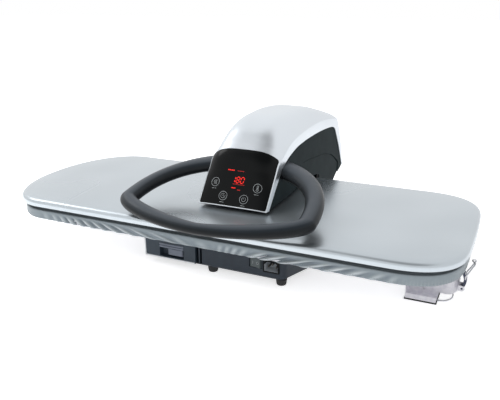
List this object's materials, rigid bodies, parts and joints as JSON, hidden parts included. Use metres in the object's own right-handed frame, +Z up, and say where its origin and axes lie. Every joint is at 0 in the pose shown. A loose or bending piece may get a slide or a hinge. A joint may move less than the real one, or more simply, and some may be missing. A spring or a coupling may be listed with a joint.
{
  "type": "steam ironing press",
  "caption": "Table-top steam ironing press: a padded board on a low base and a heated steel plate on a hinged arm with a loop handle, water drawer and switch.",
  "frame": {"origin": "centre of the footprint of the whole press, on the floor plane", "axes": "+X along the board to its square end, +Y from the user to the hinge, +Z up"},
  "size_m": [0.908, 0.6164, 0.2538],
  "materials": {
    "graphite_abs": "fine-textured graphite ABS",
    "anthracite_abs": "satin anthracite ABS",
    "black_rubber": "matt black rubber",
    "soft_touch_grip": "dark soft-touch grip",
    "silver_paint": "satin silver paint",
    "bright_steel": "plain steel",
    "zinc_sheet": "zinc-plated sheet",
    "cast_aluminium": "machined cast aluminium",
    "felt": "needled felt",
    "coated_cloth": "metallised cotton cloth",
    "mineral_wool": "mineral wool mat",
    "black_glass": "glossy black panel",
    "circuit_board": "green solder mask",
    "smoke_tank": "smoke-tinted moulding",
    "brass_pin": "plain brass",
    "navy_lever": "dark blue moulding",
    "rocker_grey": "grey rocker moulding"
  },
  "bodies": {
    "base": {"base_housing": "graphite_abs", "hinge_column": "graphite_abs", "foot_front_left": "black_rubber", "foot_front_right": "black_rubber", "foot_rear_left": "black_rubber", "foot_rear_right": "black_rubber", "board_pan": "zinc_sheet", "board_pad": "felt", "board_cover": "coated_cloth", "water_pump": "graphite_abs", "power_board": "circuit_board", "feed_hose": "black_rubber", "valve_seat": "black_rubber", "switch_frame": "graphite_abs", "inlet_socket": "graphite_abs", "inlet_pin_live": "brass_pin", "inlet_pin_neutral": "brass_pin", "inlet_pin_earth": "brass_pin", "end_bracket": "zinc_sheet", "bracket_strip": "black_rubber", "corner_wing": "zinc_sheet", "wire_loop": "bright_steel", "lift_spring_left": "bright_steel", "lift_spring_right": "bright_steel"},
    "head": {"arm_cover": "silver_paint", "arm_side_left": "anthracite_abs", "arm_side_right": "anthracite_abs", "arm_belly": "anthracite_abs", "arm_frame": "bright_steel", "hinge_shaft": "bright_steel", "shaft_clip_left": "bright_steel", "shaft_clip_right": "bright_steel", "pivot_pin": "bright_steel", "control_panel": "black_glass", "control_board": "circuit_board", "handle": "soft_touch_grip"},
    "plate": {"plate_shell": "silver_paint", "sole_plate": "cast_aluminium", "heating_element": "bright_steel", "steam_chamber": "cast_aluminium", "insulation_mat": "mineral_wool", "thermostat": "bright_steel", "plate_bracket": "bright_steel"},
    "tank": {"tank_front": "graphite_abs", "tank_body": "smoke_tank", "tank_lid": "graphite_abs"},
    "rocker": {"power_rocker": "rocker_grey"},
    "lever": {"latch_lever": "navy_lever"},
    "bail": {"latch_bail": "bright_steel"}
  },
  "joints": [
    {"name": "head_lift", "type": "hinge", "parent": "base", "child": "head", "pos_m": [0.03454, 0.25585, 0.098], "axis": [-1, 0, 0], "range_deg": [0, 50]},
    {"name": "plate_tilt", "type": "hinge", "parent": "head", "child": "plate", "pos_m": [0.03454, -0.04915, 0.129], "axis": [-1, 0, 0], "range_deg": [-1.5, 0]},
    {"name": "tank_slide", "type": "slide", "parent": "base", "child": "tank", "axis": [0, -1, 0], "range_m": [0, 0.15]},
    {"name": "rocker_tilt", "type": "hinge", "parent": "base", "child": "rocker", "pos_m": [0.10854, -0.22015, 0.0375], "axis": [0, 0, 1], "range_deg": [0, 18]},
    {"name": "lever_swing", "type": "hinge", "parent": "base", "child": "lever", "pos_m": [0.43754, -0.15715, 0.03], "axis": [0, 1, 0], "range_deg": [0, 70]},
    {"name": "bail_swing", "type": "hinge", "parent": "lever", "child": "bail", "pos_m": [0.44126, -0.15715, 0.04612], "axis": [0, 1, 0], "range_deg": [0, 45]}
  ],
  "couplings": [
    {"joint": "plate_tilt", "follows": "head_lift", "ratio": -0.03}
  ]
}
